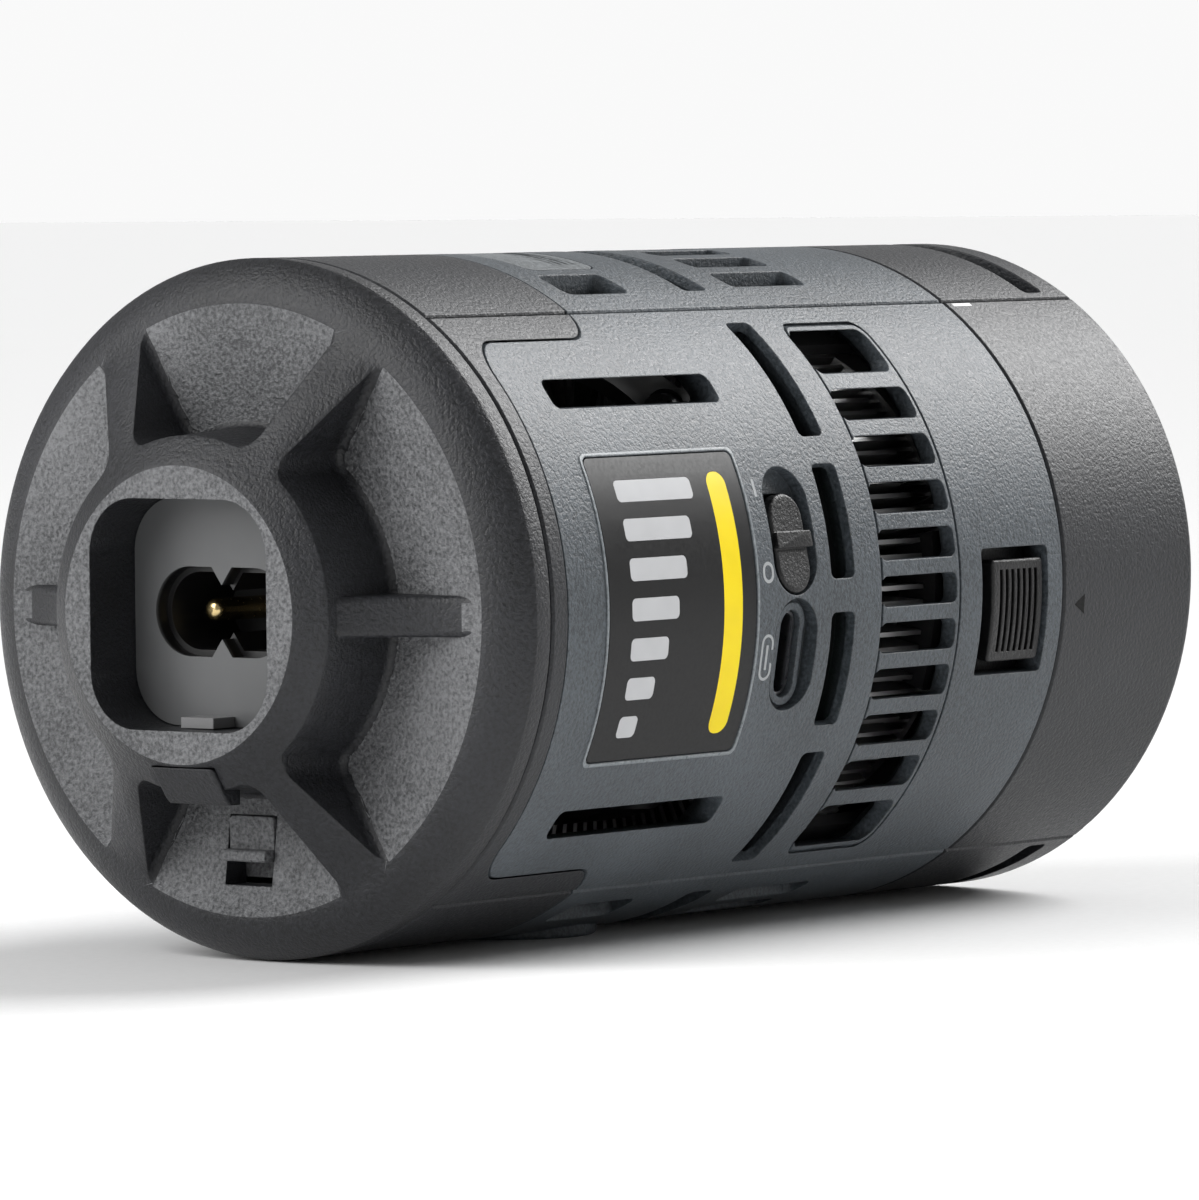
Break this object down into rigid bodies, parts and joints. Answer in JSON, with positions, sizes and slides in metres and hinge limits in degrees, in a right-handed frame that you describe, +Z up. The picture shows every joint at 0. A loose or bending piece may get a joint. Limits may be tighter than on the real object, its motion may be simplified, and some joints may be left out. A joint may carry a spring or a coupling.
{
  "type": "compact LED monolight",
  "caption": "Compact cylindrical LED studio light head with a ribbed vent band, a rear mains inlet, a sprung accessory lock and a twist-lock front mount.",
  "frame": {"origin": "centre of the front mouth, on the light axis", "axes": "+Y along the light axis, the way the beam leaves; +Z up; +X towards the side with the label and the power switch"},
  "size_m": [0.076, 0.1294, 0.0722],
  "materials": {
    "cap_plastic": "moulded, fine spark texture",
    "skirt_plastic": "moulded, fine spark texture",
    "body_plastic": "moulded, fine spark texture, faint metal flake",
    "collar_plastic": "moulded, fine spark texture",
    "black_plastic": "moulded, satin",
    "chassis_plastic": "moulded, matt",
    "mount_metal": "black anodised",
    "sink_metal": "grey anodised fins",
    "screw_steel": "turned and plated",
    "label_black": "gloss film",
    "label_yellow": "gloss ink",
    "label_grey": "gloss ink",
    "inlet_plastic": "moulded, satin",
    "pin_brass": "turned",
    "usb_steel": "stamped",
    "lens_glass": "clear",
    "seal_rubber": "matt",
    "reflector_metal": "metallised",
    "board_green": "solder mask",
    "led_metal": "metal-core board, white mask",
    "phosphor": "phosphor in silicone",
    "electronics_dark": "moulded"
  },
  "bodies": {
    "casing": {"rear_cap": "cap_plastic", "rear_skirt_right": "skirt_plastic", "rear_skirt_left": "skirt_plastic", "rear_skirt_top": "skirt_plastic", "rear_skirt_bottom": "skirt_plastic", "side_shell_right": "body_plastic", "side_shell_left": "body_plastic", "top_shell": "body_plastic", "bottom_shell": "body_plastic", "top_pad": "body_plastic", "front_collar_right": "collar_plastic", "front_collar_left": "collar_plastic", "front_collar_top": "collar_plastic", "front_collar_bottom": "collar_plastic", "chassis": "chassis_plastic", "accessory_mount": "mount_metal", "mount_screws": "screw_steel", "lamp_barrel": "chassis_plastic", "front_glass": "lens_glass", "glass_seal": "seal_rubber", "reflector": "reflector_metal", "led_board": "led_metal", "led_emitter": "phosphor", "led_frame": "black_plastic", "heat_sink": "sink_metal", "heat_sink_screws": "screw_steel", "fan_frame": "black_plastic", "fan_motor": "electronics_dark", "fan_screws": "screw_steel", "slider_guide": "black_plastic", "release_spring": "screw_steel", "latch_cover": "cap_plastic", "latch_spring": "screw_steel", "label_plate": "label_black", "label_stripe": "label_yellow", "label_bars": "label_grey", "power_switch_body": "black_plastic", "usb_socket": "usb_steel", "side_board": "board_green", "display_window": "lens_glass", "display_module": "electronics_dark", "control_board": "board_green", "dial_encoder": "electronics_dark", "power_board": "board_green", "transformer": "electronics_dark", "capacitors": "electronics_dark", "board_posts": "chassis_plastic", "inlet_body": "inlet_plastic", "inlet_pins": "pin_brass", "inlet_clip": "inlet_plastic", "tripod_insert": "pin_brass"},
    "release": {"release_slider": "black_plastic", "lock_pin": "screw_steel"},
    "power_switch": {"power_switch_cap": "black_plastic"},
    "latch": {"rear_latch": "cap_plastic"},
    "fan": {"fan_rotor": "black_plastic", "fan_axle": "screw_steel"},
    "dial": {"control_dial": "black_plastic"},
    "mode": {"mode_button": "black_plastic"},
    "effect": {"effect_button": "black_plastic"}
  },
  "joints": [
    {"name": "release_slide", "type": "slide", "parent": "casing", "child": "release", "axis": [0, -1, 0], "range_m": [0, 0.002], "stiffness_N_per_m": 400},
    {"name": "power_slide", "type": "slide", "parent": "casing", "child": "power_switch", "axis": [-0.1977, 0, 0.9803], "range_m": [0, 0.0026]},
    {"name": "latch_slide", "type": "slide", "parent": "casing", "child": "latch", "axis": [0, 0, -1], "range_m": [0, 0.0023], "stiffness_N_per_m": 300},
    {"name": "fan_spin", "type": "hinge", "parent": "casing", "child": "fan", "pos_m": [0, -0.067, 0], "axis": [0, 1, 0], "continuous": true},
    {"name": "dial_turn", "type": "hinge", "parent": "casing", "child": "dial", "pos_m": [-0.036, -0.0735, 0], "axis": [-1, 0, 0], "continuous": true},
    {"name": "mode_press", "type": "slide", "parent": "casing", "child": "mode", "axis": [1, 0, 0], "range_m": [0, 0.0006], "stiffness_N_per_m": 800},
    {"name": "effect_press", "type": "slide", "parent": "casing", "child": "effect", "axis": [1, 0, 0], "range_m": [0, 0.0006], "stiffness_N_per_m": 800}
  ]
}
